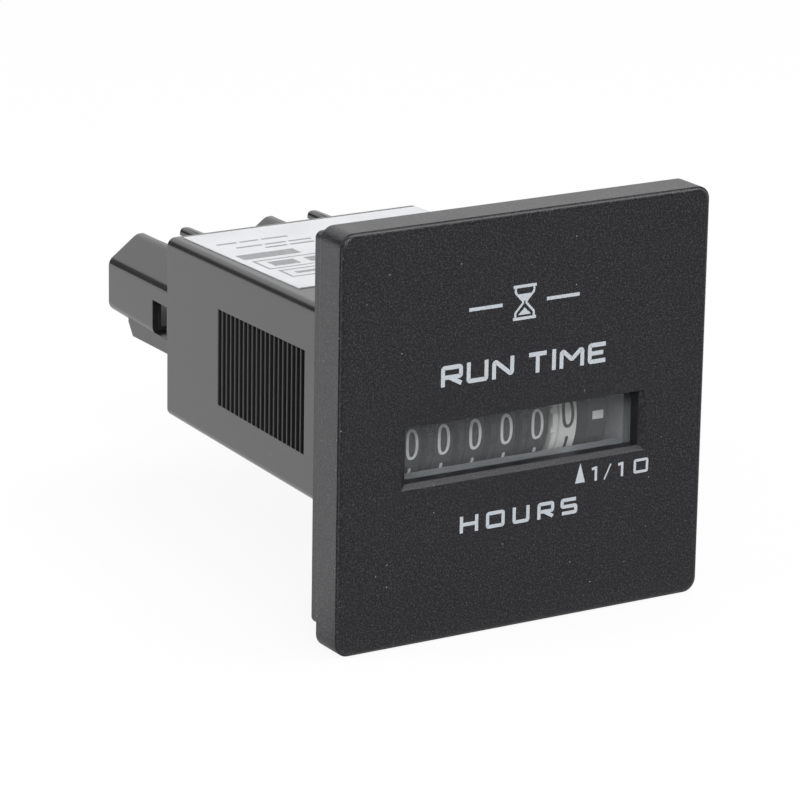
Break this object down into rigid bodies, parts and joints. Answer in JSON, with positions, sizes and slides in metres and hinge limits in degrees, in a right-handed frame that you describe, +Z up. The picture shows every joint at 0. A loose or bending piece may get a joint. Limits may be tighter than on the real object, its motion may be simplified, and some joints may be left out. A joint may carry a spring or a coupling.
{
  "type": "hour meter",
  "caption": "Panel hour meter: square black bezel, lensed window over a mechanical number-wheel register, slim case with side ratchet racks, stepping motor drive and shrouded blade terminals.",
  "frame": {"origin": "centre of the panel seat, the plane behind the rim of the bezel", "axes": "+Y to the rear through the panel, +X to the right seen from the front, +Z up"},
  "size_m": [0.048, 0.0682, 0.048],
  "materials": {
    "textured_black_plastic": "fine moulded texture",
    "satin_black_plastic": "satin",
    "clear_lens": "polished",
    "white_label": "coated",
    "tinned_brass": "tinned",
    "grey_plastic": "moulded",
    "shaft_steel": "ground",
    "white_wheel": "moulded",
    "black_wheel": "moulded",
    "natural_gear": "moulded",
    "magnet": "ground",
    "motor_steel": "pressed sheet",
    "copper_wire": "enamelled",
    "green_board": "coated",
    "chip_black": "moulded",
    "capacitor_sleeve": "shrink sleeve",
    "resistor_body": "lacquered"
  },
  "bodies": {
    "housing": {"bezel": "textured_black_plastic", "case": "satin_black_plastic", "window_lens": "clear_lens", "top_label": "white_label", "terminal_block": "satin_black_plastic", "left_terminal": "tinned_brass", "right_terminal": "tinned_brass", "counter_frame": "grey_plastic", "wheel_shaft": "shaft_steel", "pinion_shaft": "shaft_steel", "motor_can": "motor_steel", "motor_cover": "motor_steel", "coil_bobbin": "natural_gear", "coil_winding": "copper_wire", "circuit_board": "green_board", "timer_chip": "chip_black", "quartz_crystal": "motor_steel", "capacitor": "capacitor_sleeve", "resistor": "resistor_body"},
    "tenths": {"tenths_wheel": "white_wheel"},
    "units": {"units_wheel": "black_wheel"},
    "tens": {"tens_wheel": "black_wheel"},
    "hundreds": {"hundreds_wheel": "black_wheel"},
    "thousands": {"thousands_wheel": "black_wheel"},
    "ten_thousands": {"ten_thousands_wheel": "black_wheel"},
    "carry_5": {"carry_pinion_5": "natural_gear"},
    "carry_4": {"carry_pinion_4": "natural_gear"},
    "carry_3": {"carry_pinion_3": "natural_gear"},
    "carry_2": {"carry_pinion_2": "natural_gear"},
    "carry_1": {"carry_pinion_1": "natural_gear"},
    "drive": {"drive_gear": "natural_gear"},
    "indicator": {"run_indicator": "black_wheel"},
    "idler": {"idler_gear": "natural_gear"},
    "motor_rotor": {"rotor": "shaft_steel", "rotor_magnet": "magnet"}
  },
  "joints": [
    {"name": "tenths_spin", "type": "hinge", "parent": "housing", "child": "tenths", "pos_m": [0, 0.0084, -0.0024], "axis": [-1, 0, 0], "continuous": true},
    {"name": "units_spin", "type": "hinge", "parent": "housing", "child": "units", "pos_m": [0, 0.0084, -0.0024], "axis": [-1, 0, 0], "continuous": true},
    {"name": "tens_spin", "type": "hinge", "parent": "housing", "child": "tens", "pos_m": [0, 0.0084, -0.0024], "axis": [-1, 0, 0], "continuous": true},
    {"name": "hundreds_spin", "type": "hinge", "parent": "housing", "child": "hundreds", "pos_m": [0, 0.0084, -0.0024], "axis": [-1, 0, 0], "continuous": true},
    {"name": "thousands_spin", "type": "hinge", "parent": "housing", "child": "thousands", "pos_m": [0, 0.0084, -0.0024], "axis": [-1, 0, 0], "continuous": true},
    {"name": "ten_thousands_spin", "type": "hinge", "parent": "housing", "child": "ten_thousands", "pos_m": [0, 0.0084, -0.0024], "axis": [-1, 0, 0], "continuous": true},
    {"name": "carry_5_spin", "type": "hinge", "parent": "housing", "child": "carry_5", "pos_m": [0, 0.01708, -0.0024], "axis": [-1, 0, 0], "continuous": true},
    {"name": "carry_4_spin", "type": "hinge", "parent": "housing", "child": "carry_4", "pos_m": [0, 0.01708, -0.0024], "axis": [-1, 0, 0], "continuous": true},
    {"name": "carry_3_spin", "type": "hinge", "parent": "housing", "child": "carry_3", "pos_m": [0, 0.01708, -0.0024], "axis": [-1, 0, 0], "continuous": true},
    {"name": "carry_2_spin", "type": "hinge", "parent": "housing", "child": "carry_2", "pos_m": [0, 0.01708, -0.0024], "axis": [-1, 0, 0], "continuous": true},
    {"name": "carry_1_spin", "type": "hinge", "parent": "housing", "child": "carry_1", "pos_m": [0, 0.01708, -0.0024], "axis": [-1, 0, 0], "continuous": true},
    {"name": "drive_spin", "type": "hinge", "parent": "housing", "child": "drive", "pos_m": [0, 0.01708, -0.0024], "axis": [-1, 0, 0], "continuous": true},
    {"name": "indicator_spin", "type": "hinge", "parent": "housing", "child": "indicator", "pos_m": [0, 0.0084, -0.0024], "axis": [-1, 0, 0], "continuous": true},
    {"name": "idler_spin", "type": "hinge", "parent": "housing", "child": "idler", "pos_m": [0, 0.01708, -0.0024], "axis": [-1, 0, 0], "continuous": true},
    {"name": "rotor_spin", "type": "hinge", "parent": "housing", "child": "motor_rotor", "pos_m": [0, 0.02328, -0.0024], "axis": [-1, 0, 0], "continuous": true}
  ],
  "couplings": [
    {"joint": "units_spin", "follows": "tenths_spin", "ratio": 0.1},
    {"joint": "tens_spin", "follows": "tenths_spin", "ratio": 0.01},
    {"joint": "hundreds_spin", "follows": "tenths_spin", "ratio": 0.001},
    {"joint": "thousands_spin", "follows": "tenths_spin", "ratio": 0.0001},
    {"joint": "ten_thousands_spin", "follows": "tenths_spin", "ratio": 0.00001},
    {"joint": "carry_5_spin", "follows": "tenths_spin", "ratio": -0.25},
    {"joint": "carry_4_spin", "follows": "tenths_spin", "ratio": -0.025},
    {"joint": "carry_3_spin", "follows": "tenths_spin", "ratio": -0.0025},
    {"joint": "carry_2_spin", "follows": "tenths_spin", "ratio": -0.00025},
    {"joint": "carry_1_spin", "follows": "tenths_spin", "ratio": -0.000025},
    {"joint": "drive_spin", "follows": "tenths_spin", "ratio": -2.5},
    {"joint": "indicator_spin", "follows": "tenths_spin", "ratio": 6.25},
    {"joint": "idler_spin", "follows": "tenths_spin", "ratio": -8.3333},
    {"joint": "rotor_spin", "follows": "tenths_spin", "ratio": 12.5}
  ]
}
